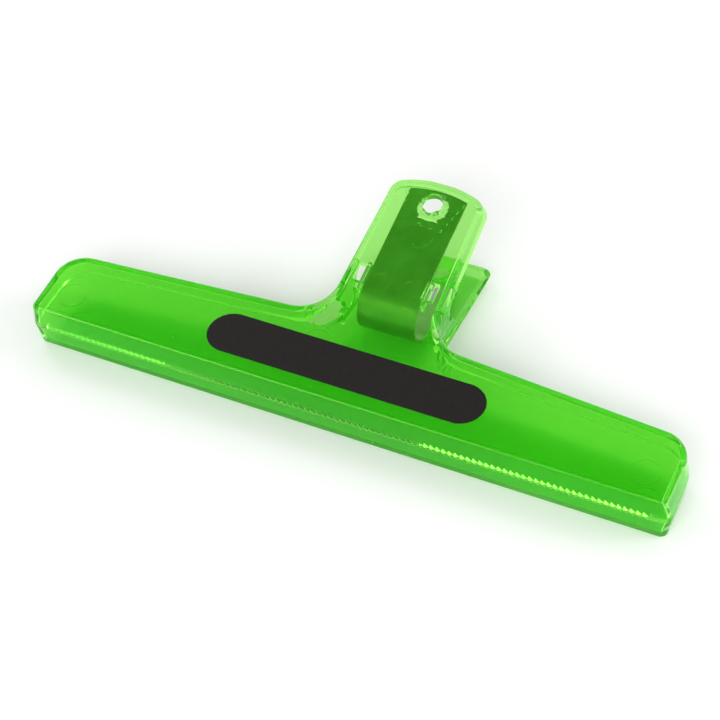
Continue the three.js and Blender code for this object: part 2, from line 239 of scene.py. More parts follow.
# %% Outline
def outline_face(bm, tip_y, tip_sag):
    """The half's outline at its free edge, as one face that looks up."""
    back_end_y = BACK_Y - BACK_TAPER * JAW_HALF_LENGTH
    neck_x = SIDE_X + SIDE_TAPER * NECK_BEFORE_PIVOT
    neck_y = BACK_Y - BACK_TAPER * neck_x
    shoulder_y = tip_y - tip_sag
    shoulder_x = SIDE_X - SIDE_TAPER * (shoulder_y - PIVOT_Y)
    right = [
        (JAW_HALF_LENGTH, 0.0, MOUTH_RADIUS, 6),
        (JAW_HALF_LENGTH - END_SLANT * back_end_y, back_end_y, BACK_RADIUS, 12),
        (neck_x, neck_y, NECK_RADIUS, 14),
        (shoulder_x, shoulder_y, TIP_RADIUS, 7),
    ]
    left = [(-x, y, radius, segments) for x, y, radius, segments in reversed(right)]
    corners = right + left
    bm.faces.new([bm.verts.new((x, y, 0)) for x, y, _, _ in corners])
    for x, y, radius, segments in corners:
        nearest = min(bm.verts, key=lambda v: (v.co - Vector((x, y, 0))).length)
        round_corner(bm, nearest, radius, segments)
    end = max(bm.edges, key=lambda e: min(v.co.y for v in e.verts))
    bmesh.ops.subdivide_edges(bm, edges=[end], cuts=TIP_CUTS)
    for vert in bm.verts:
        if vert.co.y > shoulder_y - TIP_RADIUS:
            share = max(abs(vert.co.x) / shoulder_x, TIP_FLAT)
            lift = tip_sag * (1 - share ** 2)
            bmesh.ops.translate(bm, verts=[vert], vec=(0, lift, 0))
    return bm.faces[:][0]


# %% Shell
def shell(name, tip_y, tip_sag):
    """One closed half without its ears, ribs and teeth, drawn with its panel up."""
    bm = bmesh.new()
    panel = outline_face(bm, tip_y, tip_sag)
    if panel.normal.z < 0:
        panel.normal_flip()
    bmesh.ops.inset_region(
        bm, faces=[panel], thickness=DRAFT, depth=JAW_HEIGHT, use_even_offset=True,
        use_boundary=True,
    )
    rim = [e for e in bm.edges if e.is_boundary]
    under = bmesh.ops.edgenet_fill(bm, edges=rim)["faces"][0]
    under.normal_update()
    if under.normal.z > 0:
        under.normal_flip()
    bmesh.ops.inset_region(bm, faces=[under], thickness=WALL, use_even_offset=True)
    bmesh.ops.inset_region(
        bm, faces=[under], thickness=DRAFT, depth=WALL - JAW_HEIGHT, use_even_offset=True
    )
    for face in (panel, under):
        mouth = [v for v in face.verts if v.co.y < MOUTH_ZONE]
        bmesh.ops.translate(bm, verts=mouth, vec=(0, -MOUTH_LESS_DRAFT, 0))
        stretch = 1 - END_EXTRA_DRAFT / JAW_HALF_LENGTH
        bmesh.ops.scale(bm, verts=face.verts[:], vec=(stretch, 1, 1))
        for vert in face.verts:
            if abs(vert.co.x) > JAW_HALF_LENGTH - 2 * BACK_RADIUS:
                vert.co.x += math.copysign(END_SLANT * vert.co.y, vert.co.x)
    outer, inner = panel.edges[:], under.edges[:]
    bmesh.ops.bevel(
        bm, geom=outer, offset=FILLET, offset_type="OFFSET", segments=5, profile=0.5,
        affect="EDGES", material=-1, clamp_overlap=False,
    )
    inner = [e for e in inner if e.is_valid]
    bmesh.ops.bevel(
        bm, geom=inner, offset=INSIDE_FILLET, offset_type="OFFSET", segments=2, profile=0.5,
        affect="EDGES", material=-1, clamp_overlap=False,
    )
    cuts = [BEND_Y - BEND_REACH + k * BEND_REACH / 4 for k in range(9)] + HANDLE_CUTS
    for y in cuts:
        everything = bm.verts[:] + bm.edges[:] + bm.faces[:]
        place = (0, y + CUT_SHIFT, 0)
        bmesh.ops.bisect_plane(bm, geom=everything, plane_co=place, plane_no=(0, 1, 0))
    for vert in bm.verts:
        y = vert.co.y
        vert.co.z = rim_z(y) if vert.co.z < 1e-4 else vert.co.z + panel_rise(y)
    return new_object(name, bm)


FRONT_TIP = (82.7, 3.7)
REAR_TIP = (78.7, 0.1)
front_shell = shell("front_shell", *FRONT_TIP)
rear_shell = shell("rear_shell", *REAR_TIP)
for obj in (front_shell, rear_shell):
    print(obj.name, len(obj.data.polygons), "faces,", open_edges(obj), "open edges")

# %% [markdown]
# ## Teeth
# The mouth edges carry fine saw teeth that mesh. One tooth is a five-cornered face. Spin with a
# step and no angle repeats it along the jaw, and an extrusion gives the row the thickness of the
# wall. The rear row is the front row read backwards, because that half is turned over at the end.

# %% Tooth rows
TOOTH_PITCH = 1.873
TOOTH_COUNT = 102
TOOTH_HEIGHT = 1.2
TOOTH_GAP = 0.5
TOOTH_LEAN = 0.7
ROW_GAP = 0.3  # from the end of the row to the other half's plain edge
ROW_X = TOOTH_COUNT * TOOTH_PITCH / 2
ROW_Y = 0.08
ROW_THICKNESS = WALL - 0.05
ROW_TOP = 1.7
RELIEF_TOP = ROW_TOP - 0.35
RELIEF_LOW = (-4, -4)
RELIEF_BACK = 2.9


def solid_box(name, low, high):
    bm = bmesh.new()
    bmesh.ops.create_cube(bm, size=1)
    size = [h - l for l, h in zip(low, high)]
    bmesh.ops.scale(bm, vec=size, verts=bm.verts[:])
    bmesh.ops.translate(bm, vec=[(l + h) / 2 for l, h in zip(low, high)], verts=bm.verts[:])
    return new_object(name, bm)


def tooth_row(name, is_front):
    root, crest = (TOOTH_GAP + TOOTH_HEIGHT) / 2, (TOOTH_GAP - TOOTH_HEIGHT) / 2
    ends, turn = (root, crest) if is_front else (crest, root)
    share = TOOTH_LEAN if is_front else 1 - TOOTH_LEAN
    outline = [(0, ROW_TOP), (0, ends), (share, turn), (1, ends), (1, ROW_TOP)]
    bm = bmesh.new()
    face = bm.faces.new([bm.verts.new((-ROW_X + x * TOOTH_PITCH, ROW_Y, z)) for x, z in outline])
    bmesh.ops.spin(
        bm, geom=[face], cent=(0, 0, 0), axis=(0, 0, 1), dvec=(TOOTH_PITCH, 0, 0),
        angle=0, steps=TOOTH_COUNT - 1, use_duplicate=True,
    )
    bmesh.ops.remove_doubles(bm, verts=bm.verts[:], dist=0.001)
    sides = bmesh.ops.extrude_face_region(bm, geom=bm.faces[:], use_keep_orig=True)["geom"]
    moved = [g for g in sides if isinstance(g, bmesh.types.BMVert)]
    bmesh.ops.translate(bm, verts=moved, vec=(0, ROW_THICKNESS, 0))
    bmesh.ops.recalc_face_normals(bm, faces=bm.faces[:])
    return new_object(name, bm)


for obj, is_front in ((front_shell, True), (rear_shell, False)):
    reach = ROW_X + (ROW_GAP if is_front else 0)
    relief = solid_box("relief", (-reach, *RELIEF_LOW), (reach, RELIEF_BACK, RELIEF_TOP))
    boolean(obj, relief, "DIFFERENCE")
    boolean(obj, tooth_row("teeth", is_front), "UNION")
    print(obj.name, "with teeth:", len(obj.data.polygons), "faces,", open_edges(obj), "open edges")

# %% [markdown]
# ## Finger ridges and ejector marks
# Arched ridges give the thumb a grip near the tip. Each is a small rounded section swept along an
# arc with spin, then tilted to the handle's slope. On the inside, round marks show where pins pushed
# the moulding out of its tool; each is a very low disc.

# %% Ridges
RIDGE_FIRST_Y = 65.8
RIDGE_PITCH = 2.62
RIDGE_RADIUS = 35.0
RIDGE_WIDTH = 1.3
RIDGE_HEIGHT = 0.5
RIDGE_ROOT = -0.6
RIDGE_ROUNDING = 0.45
RIDGE_STEPS = 16
RIDGE_END_MARGIN = 3.5
RIDGE_HALF_LENGTHS = [6.3 + 0.77 * k for k in range(6)]


def ridge(name, apex_y, half_length):
    half_angle = math.asin(half_length / RIDGE_RADIUS)
    bm = bmesh.new()
    half_width = RIDGE_WIDTH / 2
    outline = [
        (-half_width, RIDGE_ROOT), (half_width, RIDGE_ROOT),
        (half_width, RIDGE_HEIGHT), (-half_width, RIDGE_HEIGHT),
    ]
    centre = Vector((0, apex_y - RIDGE_RADIUS, 0))
    face = bm.faces.new([bm.verts.new((0, apex_y + across, up)) for across, up in outline])
    start = Matrix.Rotation(-half_angle, 3, "Z")
    bmesh.ops.rotate(bm, cent=centre, matrix=start, verts=bm.verts[:])
    bmesh.ops.spin(
        bm, geom=[face], cent=centre, axis=(0, 0, 1), angle=2 * half_angle, steps=RIDGE_STEPS
    )
    bmesh.ops.contextual_create(bm, geom=[e for e in bm.edges if e.is_boundary])
    bmesh.ops.recalc_face_normals(bm, faces=bm.faces[:])
    top = [e for e in bm.edges if all(v.co.z > RIDGE_HEIGHT - 0.01 for v in e.verts)]
    crown = [e for e in top if e.calc_face_angle(0) > 1]
    bmesh.ops.bevel(
        bm, geom=crown, offset=RIDGE_ROUNDING, offset_type="OFFSET", segments=4, profile=0.5,
        affect="EDGES", material=-1,
    )
    for vert in bm.verts:
        bmesh.ops.translate(bm, verts=[vert], vec=(0, 0, panel_z(vert.co.y)))
    return new_object(name, bm)


for obj, tip in ((front_shell, FRONT_TIP), (rear_shell, REAR_TIP)):
    room = tip[0] - RIDGE_END_MARGIN
    for k, half_length in enumerate(RIDGE_HALF_LENGTHS):
        apex_y = RIDGE_FIRST_Y + RIDGE_PITCH * k
        if apex_y < room:
            boolean(obj, ridge("ridge", apex_y, half_length), "UNION")
    print(obj.name, "with ridges:", len(obj.data.polygons), "faces,", open_edges(obj), "open edges")

# %% Ejector marks
EJECTOR_MARKS = [  # X, Y, radius
    (4.65, 45.0, 2.85), (-4.65, 45.0, 2.85), (0, 63.2, 4.3),
    (90.9, 9.5, 4.35), (-90.9, 9.5, 4.35), (14.0, 19.6, 4.3), (-14.0, 19.6, 4.3),
]
MARK_HEIGHT = 0.22
MARK_ROOT = 0.6


def disc(name, x, y, radius, low, high, segments=48):
    """A cylinder whose ends follow the panel's slope."""
    bm = bmesh.new()
    bmesh.ops.create_cone(
        bm, cap_ends=True, segments=segments, radius1=radius, radius2=radius, depth=high - low
    )
    bmesh.ops.translate(bm, verts=bm.verts[:], vec=(x, y, (low + high) / 2))
    for vert in bm.verts:
        bmesh.ops.translate(bm, verts=[vert], vec=(0, 0, panel_z(vert.co.y)))
    return new_object(name, bm)


for obj in (front_shell, rear_shell):
    for x, y, radius in EJECTOR_MARKS:
        mark = disc("mark", x, y, radius, -WALL - MARK_HEIGHT, -WALL + MARK_ROOT)
        boolean(obj, mark, "UNION")
    print(obj.name, "with marks:", len(obj.data.polygons), "faces,", open_edges(obj), "open edges")

# %% [markdown]
# ## Windows, spring guides and the hang hole
# A rib stands on each side of the spring. In the front half a lip reaches in from it and hooks under
# the spring, and the tool needs a window in the plate to shape that lip. The hang hole goes through
# last, so that it cuts the ridges it crosses.

# %% Windows, guides and hole
SPRING_HALF_WIDTH = 9.3
SPRING_GAP = 0.35
SPRING_THICKNESS = 0.7
WINDOW_X = (9.2, 13.0)
WINDOW_Y = (42.5, 48.5)
RIB_X = SPRING_HALF_WIDTH + 0.4
RIB_THICKNESS = 1.1
LIP_TOP = SPRING_GAP + SPRING_THICKNESS + 0.35
LIP_THICKNESS = 1.0
LIP_REACH = 1.1
LIP_OVERLAP = 0.5  # how far the lip is sunk into its rib
RIB_OVERHANG = 1.6
RIB_ROOT = -0.8
GUIDE_BEVEL = 0.15
HOLE_Y = 73.4
HOLE_RADIUS = 3.2
HOLE_DEPTHS = (-6, 4)
HOLE_SIDES = 64
LIP_LIFT = 0.002  # keeps the lip's underside off the rib's
CUT_BELOW = 4
CUT_ABOVE = 3


def sloped_block(name, x_range, y_range, low, high, bevel=0.0):
    """A block on both sides of the middle, whose height is measured from the plate's outside."""
    bm = bmesh.new()
    bmesh.ops.create_cube(bm, size=1)
    size = (x_range[1] - x_range[0], y_range[1] - y_range[0], high - low)
    middle = (sum(x_range) / 2, sum(y_range) / 2, (low + high) / 2)
    bmesh.ops.scale(bm, vec=size, verts=bm.verts[:])
    if bevel:
        bmesh.ops.bevel(
            bm, geom=bm.edges[:], offset=bevel, offset_type="OFFSET", segments=2, profile=0.5,
            affect="EDGES", material=-1,
        )
    bmesh.ops.translate(bm, vec=middle, verts=bm.verts[:])
    for vert in bm.verts:
        bmesh.ops.translate(bm, verts=[vert], vec=(0, 0, panel_z(vert.co.y)))
    mirrored(bm)
    return new_object(name, bm)


for obj in (front_shell, rear_shell):
    if obj is front_shell:
        window = sloped_block("window", WINDOW_X, WINDOW_Y, -WALL - CUT_BELOW, CUT_ABOVE)
        boolean(obj, window, "DIFFERENCE")
    rib_x = (RIB_X, RIB_X + RIB_THICKNESS)
    rib_y = (WINDOW_Y[0] - RIB_OVERHANG, WINDOW_Y[1] + RIB_OVERHANG)
    rib_low = -WALL - LIP_TOP - LIP_THICKNESS
    boolean(obj, sloped_block("rib", rib_x, rib_y, rib_low, RIB_ROOT, GUIDE_BEVEL), "UNION")
    if obj is front_shell:
        lip_x = (SPRING_HALF_WIDTH - LIP_REACH, RIB_X + LIP_OVERLAP)
        lip_z = (rib_low + LIP_LIFT, rib_low + LIP_THICKNESS)
        boolean(obj, sloped_block("lip", lip_x, WINDOW_Y, *lip_z, GUIDE_BEVEL), "UNION")
    boolean(obj, disc("hole", 0, HOLE_Y, HOLE_RADIUS, *HOLE_DEPTHS, HOLE_SIDES), "DIFFERENCE")
    print(obj.name, "with guides:", len(obj.data.polygons), "faces,", open_edges(obj), "open edges")

# %% [markdown]
# ## Ears
# The halves rock on each other at two ears. The front ear ends in a round nose and the rear ear in a
# cradle for it. The ear is a plate drawn from the side with a few corners, and the nose a short
# cylinder on the pivot's line; the cradle is cut with a slightly larger one.

# %% Ears
EAR_INSET = 0.75
EAR_THICKNESS = 1.7
EAR_REACH = 8.0  # the ears' far edge past the pivot, where the handle is narrowest for them
EAR_OUTER_X = SIDE_X - SIDE_TAPER * EAR_REACH - EAR_INSET
EAR_X = (EAR_OUTER_X - EAR_THICKNESS, EAR_OUTER_X)
NOSE_RADIUS = 3.2
CRADLE_RADIUS = 3.5
EAR_FRONT_Y = 37.0
EAR_BACK_Y = 51.1
EAR_ROOT = 0.8  # how far an ear is sunk into its handle
EAR_BEVEL = 0.25
ROD_SIDES = 56
HORN_ANGLE = math.radians(22)
HORN_WIDTH = 1.75
FLANK_BULGE_Z = 4.0


def side_plate(name, outline, x_range, bevel):
    """A plate drawn in Y and Z, on both sides of the middle."""
    bm = bmesh.new()
    face = bm.faces.new([bm.verts.new((x_range[0], y, z)) for y, z in outline])
    out = bmesh.ops.extrude_face_region(bm, geom=[face], use_keep_orig=True)["geom"]
    moved = [g for g in out if isinstance(g, bmesh.types.BMVert)]
    bmesh.ops.translate(bm, verts=moved, vec=(x_range[1] - x_range[0], 0, 0))
    bmesh.ops.recalc_face_normals(bm, faces=bm.faces[:])
    if bevel:
        rims = [e for e in bm.edges if abs(e.verts[0].co.x - e.verts[1].co.x) < 1e-4]
        bmesh.ops.bevel(
            bm, geom=rims, offset=bevel, offset_type="OFFSET", segments=2, profile=0.5,
            affect="EDGES", material=-1,
        )
    mirrored(bm)
    return new_object(name, bm)


def pivot_rod(name, radius, x_range, bevel=0.0):
    bm = bmesh.new()
    bmesh.ops.create_cone(
        bm, cap_ends=True, segments=ROD_SIDES, radius1=radius, radius2=radius,
        depth=x_range[1] - x_range[0],
    )
    onto_x = Matrix.Rotation(math.pi / 2, 3, "Y")
    bmesh.ops.rotate(bm, cent=(0, 0, 0), matrix=onto_x, verts=bm.verts[:])
    if bevel:
        rims = [e for e in bm.edges if e.calc_face_angle(0) > 1]
        bmesh.ops.bevel(
            bm, geom=rims, offset=bevel, offset_type="OFFSET", segments=2, profile=0.5,
            affect="EDGES", material=-1,
        )
    bmesh.ops.translate(bm, verts=bm.verts[:], vec=(sum(x_range) / 2, PIVOT_Y, 0))
    mirrored(bm)
    return new_object(name, bm)


def flank(from_point, to_point, bulge, count=6):
    """Points of a hollow curve between two corners of an ear."""
    (y0, z0), (y1, z1) = from_point, to_point
    points = []
    for k in range(1, count):
        t = k / count
        points.append((
            (1 - t) ** 2 * y0 + 2 * t * (1 - t) * bulge[0] + t * t * y1,
            (1 - t) ** 2 * z0 + 2 * t * (1 - t) * bulge[1] + t * t * z1,
        ))
    return points


nose_front = (PIVOT_Y - NOSE_RADIUS * 0.98, -0.5)
nose_back = (PIVOT_Y + NOSE_RADIUS * 0.98, 0.5)
ear_front = (EAR_FRONT_Y, rim_z(EAR_FRONT_Y) - 0.8)
ear_back = (EAR_BACK_Y, rim_z(EAR_BACK_Y) - 0.4)
root_front = (EAR_FRONT_Y, rim_z(EAR_FRONT_Y) + EAR_ROOT)
root_back = (EAR_BACK_Y, rim_z(EAR_BACK_Y) + EAR_ROOT)
nose_outline = (
    [root_front, ear_front]
    + flank(ear_front, nose_front, (PIVOT_Y - NOSE_RADIUS, FLANK_BULGE_Z))
    + [nose_front, (PIVOT_Y, -1.0), nose_back]
    + flank(nose_back, ear_back, (PIVOT_Y + NOSE_RADIUS + 1, FLANK_BULGE_Z))
    + [ear_back, root_back]
)
horn_z = CRADLE_RADIUS * math.sin(HORN_ANGLE)
horn_front = (PIVOT_Y - CRADLE_RADIUS - HORN_WIDTH, horn_z)
horn_back = (PIVOT_Y + CRADLE_RADIUS + HORN_WIDTH, horn_z)
cradle_outline = [root_front, ear_front, horn_front, horn_back, ear_back, root_back]
boolean(front_shell, side_plate("ear", nose_outline, EAR_X, EAR_BEVEL), "UNION")
boolean(front_shell, pivot_rod("nose", NOSE_RADIUS, EAR_X, EAR_BEVEL), "UNION")
cradle = side_plate("cradle", cradle_outline, EAR_X, EAR_BEVEL)
boolean(cradle, pivot_rod("seat", CRADLE_RADIUS, (EAR_X[0] - 1, EAR_X[1] + 1)), "DIFFERENCE")
boolean(rear_shell, cradle, "UNION")
for obj in (front_shell, rear_shell):
    print(obj.name, "with ears:", len(obj.data.polygons), "faces,", open_edges(obj), "open edges")

# %% [markdown]
# ## The leaf spring
# The spring is one strip, so it is drawn as a line from the side: a straight leg, a bend round the
# pivot made with spin, and another leg. The line is swept across the clip, and solidify gives it the
# thickness of the steel. The front leg has a wider hole, so that it never shows in the hang hole.

# %% Spring
SPRING_BEND_Y = 45.0
SPRING_FRONT_END = 79.2
SPRING_REAR_END = 66.0
SPRING_END_SAG = 1.3
SPRING_HOLE_RADIUS = 4.8
SPRING_HOLE_DEPTHS = (-8, 4)
SAG_FROM_Y = 70
BEND_STEPS = 40
LEG_CUTS = 8
WIDTH_CUTS = 15


def leaf_spring():
    slope_angle = math.atan(SLOPE)
    leg_z = panel_z(SPRING_BEND_Y) - WALL - SPRING_GAP
    radius = leg_z * math.cos(slope_angle)
    centre = Vector((0, SPRING_BEND_Y, 0))
    bm = bmesh.new()
    start = bm.verts.new(centre + Matrix.Rotation(slope_angle, 3, "X") @ Vector((0, 0, radius)))
    bmesh.ops.spin(
        bm, geom=[start], cent=centre, axis=(1, 0, 0), angle=math.pi - 2 * slope_angle,
        steps=BEND_STEPS,
    )
    for side, end_y in ((1, SPRING_FRONT_END), (-1, SPRING_REAR_END)):
        lean = Vector((0, -math.sin(slope_angle), side * math.cos(slope_angle)))
        bend_end = centre + radius * lean
        run = end_y - bend_end.y
        leg_end = bend_end + Vector((0, run, side * run * SLOPE))
        leg = bm.edges.new([bm.verts.new(bend_end), bm.verts.new(leg_end)])
        bmesh.ops.subdivide_edges(bm, edges=[leg], cuts=LEG_CUTS)
    bmesh.ops.remove_doubles(bm, verts=bm.verts[:], dist=0.01)
    swept = bmesh.ops.extrude_edge_only(bm, edges=bm.edges[:])["geom"]
    moved = [g for g in swept if isinstance(g, bmesh.types.BMVert)]
    bmesh.ops.translate(bm, verts=moved, vec=(2 * SPRING_HALF_WIDTH, 0, 0))
    bmesh.ops.translate(bm, verts=bm.verts[:], vec=(-SPRING_HALF_WIDTH, 0, 0))
    across = [e for e in bm.edges if abs(e.verts[0].co.x - e.verts[1].co.x) > 1]
    bmesh.ops.subdivide_edges(bm, edges=across, cuts=WIDTH_CUTS, use_grid_fill=True)
    for vert in bm.verts:
        if vert.co.y > SAG_FROM_Y and vert.co.z > 0:
            past = (vert.co.y - SAG_FROM_Y) / (SPRING_FRONT_END - SAG_FROM_Y)
            drop = SPRING_END_SAG * (vert.co.x / SPRING_HALF_WIDTH) ** 2 * past
            bmesh.ops.translate(bm, verts=[vert], vec=(0, -drop, -drop * SLOPE))
    bmesh.ops.recalc_face_normals(bm, faces=bm.faces[:])
    outward = max(bm.faces, key=lambda f: f.calc_center_median().z)
    if outward.normal.z < 0:
        bmesh.ops.reverse_faces(bm, faces=bm.faces[:])
    bmesh.ops.solidify(bm, geom=bm.faces[:], thickness=SPRING_THICKNESS)
    bmesh.ops.recalc_face_normals(bm, faces=bm.faces[:])
    return new_object("spring_strip", bm)


spring_strip = leaf_spring()
hole_cutter = disc("hole", 0, HOLE_Y, SPRING_HOLE_RADIUS, *SPRING_HOLE_DEPTHS, HOLE_SIDES)
boolean(spring_strip, hole_cutter, "DIFFERENCE")
faces = len(spring_strip.data.polygons)
print("spring", faces, "faces,", open_edges(spring_strip), "open edges")

# %% [markdown]
# ## The print on the panel
# The front panel carries a black printed lozenge. Ink has almost no thickness, so it is a very thin
# plate with round ends that floats a hair above the plastic. It is left plain, with no words.

# %% Print
PRINT_MIDDLE = (-1.75, 12.7)
PRINT_HALF = (43.9, 7.35)
INK_THICKNESS = 0.02
INK_LIFT = 0.015


def printed_panel():
    bm = bmesh.new()
    x, y = PRINT_MIDDLE
    half_x, half_y = PRINT_HALF
    bmesh.ops.create_circle(bm, cap_ends=True, segments=64, radius=half_y)
    for vert in bm.verts:
        side = 1 if vert.co.x > 1e-5 else -1
        bmesh.ops.translate(bm, verts=[vert], vec=(side * (half_x - half_y), 0, 0))
    sides = bmesh.ops.extrude_face_region(bm, geom=bm.faces[:], use_keep_orig=True)["geom"]
    moved = [g for g in sides if isinstance(g, bmesh.types.BMVert)]
    bmesh.ops.translate(bm, verts=moved, vec=(0, 0, INK_THICKNESS))
    bmesh.ops.recalc_face_normals(bm, faces=bm.faces[:])
    bmesh.ops.translate(bm, verts=bm.verts[:], vec=(x, y, JAW_HEIGHT + INK_LIFT))
    for vert in bm.verts:
        vert.co.z -= JAW_SLOPE * vert.co.y
    return new_object("panel_print", bm)


panel_print = printed_panel()
print("print", len(panel_print.data.polygons), "faces")

# %% [markdown]
# ## Laying the pieces in place
# Each mesh now takes its place from the matrix, and its object stays at the origin. Flat faces next
# to roundings would shade as if they were curved, so the normals are weighted by face area.


# %% Place the pieces
def lay(obj, sharp_angle, extra=None):
    matrix = to_table @ extra if extra else to_table
    bm = bmesh.new()
    bm.from_mesh(obj.data)
    bmesh.ops.remove_doubles(bm, verts=bm.verts[:], dist=0.0005)
    bmesh.ops.dissolve_degenerate(bm, dist=0.0005, edges=bm.edges[:])
    bmesh.ops.transform(bm, matrix=matrix, verts=bm.verts[:])
    bm.to_mesh(obj.data)
    bm.free()
    for polygon in obj.data.polygons:
        polygon.use_smooth = True
    obj.data.set_sharp_from_angle(angle=math.radians(sharp_angle))
    weighted = obj.modifiers.new("flat faces stay flat", "WEIGHTED_NORMAL")
    weighted.mode = "FACE_AREA"
    weighted.weight = 100
    weighted.keep_sharp = True


lay(front_shell, 32)
lay(rear_shell, 32, turned_over)
lay(spring_strip, 35)
lay(panel_print, 20)
print("handle tip at", [round(v, 4) for v in to_table @ Vector((0, 82.7, rim_z(82.7)))])

# %% [markdown]
# ## Green plastic
# The plastic is clear polystyrene with a green dye. Light passes through it, so it needs real
# transmission with a refractive index, and each wall's colour multiplies what lies behind it. The
# surface is polished, with faint flow waves from moulding and a few tiny specks.


# %% Surface groups
def value_group(name, inputs, outputs):
    group = bpy.data.node_groups.new(name, "ShaderNodeTree")
    for socket, default in inputs:
        made = group.interface.new_socket(socket, in_out="INPUT", socket_type="NodeSocketFloat")
        made.default_value = default
    for socket in outputs:
        group.interface.new_socket(socket, in_out="OUTPUT", socket_type="NodeSocketFloat")
    return group, group.nodes.new("NodeGroupInput"), group.nodes.new("NodeGroupOutput")


def speck_group():
    """A mask of tiny round specks, one in each cell of a grid, most of them left out."""
    inputs = [("Scale", 200.0), ("Size", 0.1), ("Share", 0.2)]
    group, source, sink = value_group("specks", inputs, ["Mask"])
    nodes, links = group.nodes, group.links
    place = nodes.new("ShaderNodeTexCoord")
    cells = nodes.new("ShaderNodeTexVoronoi")
    cells.feature = "F1"
    links.new(place.outputs["Object"], cells.inputs["Vector"])
    links.new(source.outputs["Scale"], cells.inputs["Scale"])
    near = nodes.new("ShaderNodeMath")
    near.operation = "LESS_THAN"
    links.new(cells.outputs["Distance"], near.inputs[0])
    links.new(source.outputs["Size"], near.inputs[1])
    split = nodes.new("ShaderNodeSeparateColor")
    links.new(cells.outputs["Color"], split.inputs["Color"])
    chosen = nodes.new("ShaderNodeMath")
    chosen.operation = "LESS_THAN"
    links.new(split.outputs["Red"], chosen.inputs[0])
    links.new(source.outputs["Share"], chosen.inputs[1])
    both = nodes.new("ShaderNodeMath")
    both.operation = "MULTIPLY"
    links.new(near.outputs[0], both.inputs[0])
    links.new(chosen.outputs[0], both.inputs[1])
    links.new(both.outputs[0], sink.inputs["Mask"])
    return group


def wave_group():
    """Slow unevenness: the faint waves of moulded plastic or rolled steel."""
    group, source, sink = value_group("slow waves", [("Scale", 40.0), ("Detail", 2.0)], ["Value"])
    nodes, links = group.nodes, group.links
    place = nodes.new("ShaderNodeTexCoord")
    noise = nodes.new("ShaderNodeTexNoise")
    links.new(place.outputs["Object"], noise.inputs["Vector"])
    links.new(source.outputs["Scale"], noise.inputs["Scale"])
    links.new(source.outputs["Detail"], noise.inputs["Detail"])
    links.new(noise.outputs["Fac"], sink.inputs["Value"])
    return group


specks, waves = speck_group(), wave_group()
print("groups:", specks.name, "and", waves.name)


# %% Green plastic
def use_group(material, group, **values):
    node = material.node_tree.nodes.new("ShaderNodeGroup")
    node.node_tree = group
    for name, value in values.items():
        node.inputs[name].default_value = value
    return node


def new_material(name):
    material = bpy.data.materials.new(name)
    material.use_nodes = True
    return material, material.node_tree.nodes["Principled BSDF"]


def ramp(material, source, low, high, positions=(0.0, 1.0)):
    """Maps a value to a grey or a colour between two ends."""
    node = material.node_tree.nodes.new("ShaderNodeValToRGB")
    material.node_tree.links.new(source, node.inputs["Fac"])
    for element, position, colour in zip(node.color_ramp.elements, positions, (low, high)):
        element.position = position
        element.color = colour if isinstance(colour, tuple) else (colour, colour, colour, 1)
    return node.outputs["Color"]


GREEN = (0.38, 0.81, 0.21, 1)
GREEN_DEEP = (0.355, 0.79, 0.19, 1)
GREEN_SHINE = (0.3, 0.9, 0.15, 1)
PAINTED_GLOW_GREEN = (0.12, 1.0, 0.03, 1)  # painted glow, standing in for light scattered inside the plastic


def green_plastic():
    material, shader = new_material("green_clear_plastic")
    links = material.node_tree.links
    shader.inputs["Transmission Weight"].default_value = 1.0
    shader.inputs["IOR"].default_value = 1.3
    # Emission paints a faint, even green glow into the plastic. It stands in for light scattered inside
    # it and lifts the walls' shaded, dark edges.
    shader.inputs["Emission Color"].default_value = PAINTED_GLOW_GREEN
    shader.inputs["Emission Strength"].default_value = 0.05
    shader.inputs["Specular Tint"].default_value = GREEN_SHINE
    flow = use_group(material, waves, Scale=22.0, Detail=2.0)
    dye = ramp(material, flow.outputs["Value"], GREEN_DEEP, GREEN, (0.3, 0.7))
    links.new(dye, shader.inputs["Base Color"])
    dust = use_group(material, specks, Scale=260.0, Size=0.09, Share=0.06)
    smooth = material.node_tree.nodes.new("ShaderNodeMath")
    smooth.operation = "MULTIPLY_ADD"
    links.new(dust.outputs["Mask"], smooth.inputs[0])
    smooth.inputs[1].default_value = 0.4
    polish = ramp(material, flow.outputs["Value"], 0.06, 0.10, (0.35, 0.75))
    links.new(polish, smooth.inputs[2])
    links.new(smooth.outputs[0], shader.inputs["Roughness"])
    fine = use_group(material, waves, Scale=90.0, Detail=3.0)
    bump = material.node_tree.nodes.new("ShaderNodeBump")
    bump.inputs["Strength"].default_value = 0.12
    bump.inputs["Distance"].default_value = 0.0002
    links.new(fine.outputs["Value"], bump.inputs["Height"])
    links.new(bump.outputs["Normal"], shader.inputs["Normal"])
    return material


green = green_plastic()
print("material:", green.name)

# %% [markdown]
# ## Spring steel and ink
# The strip is bright rolled steel: metallic, with fine lines along its length from the rolls and a
# faint oil stain. The print is a flat black ink that is a little glossier where it is thick.


# %% Steel and ink
STEEL_DARK = (0.30, 0.31, 0.32, 1)
STEEL_BRIGHT = (0.44, 0.45, 0.46, 1)
INK_DARK = (0.009, 0.0075, 0.0065, 1)
INK_PALE = (0.017, 0.0145, 0.013, 1)


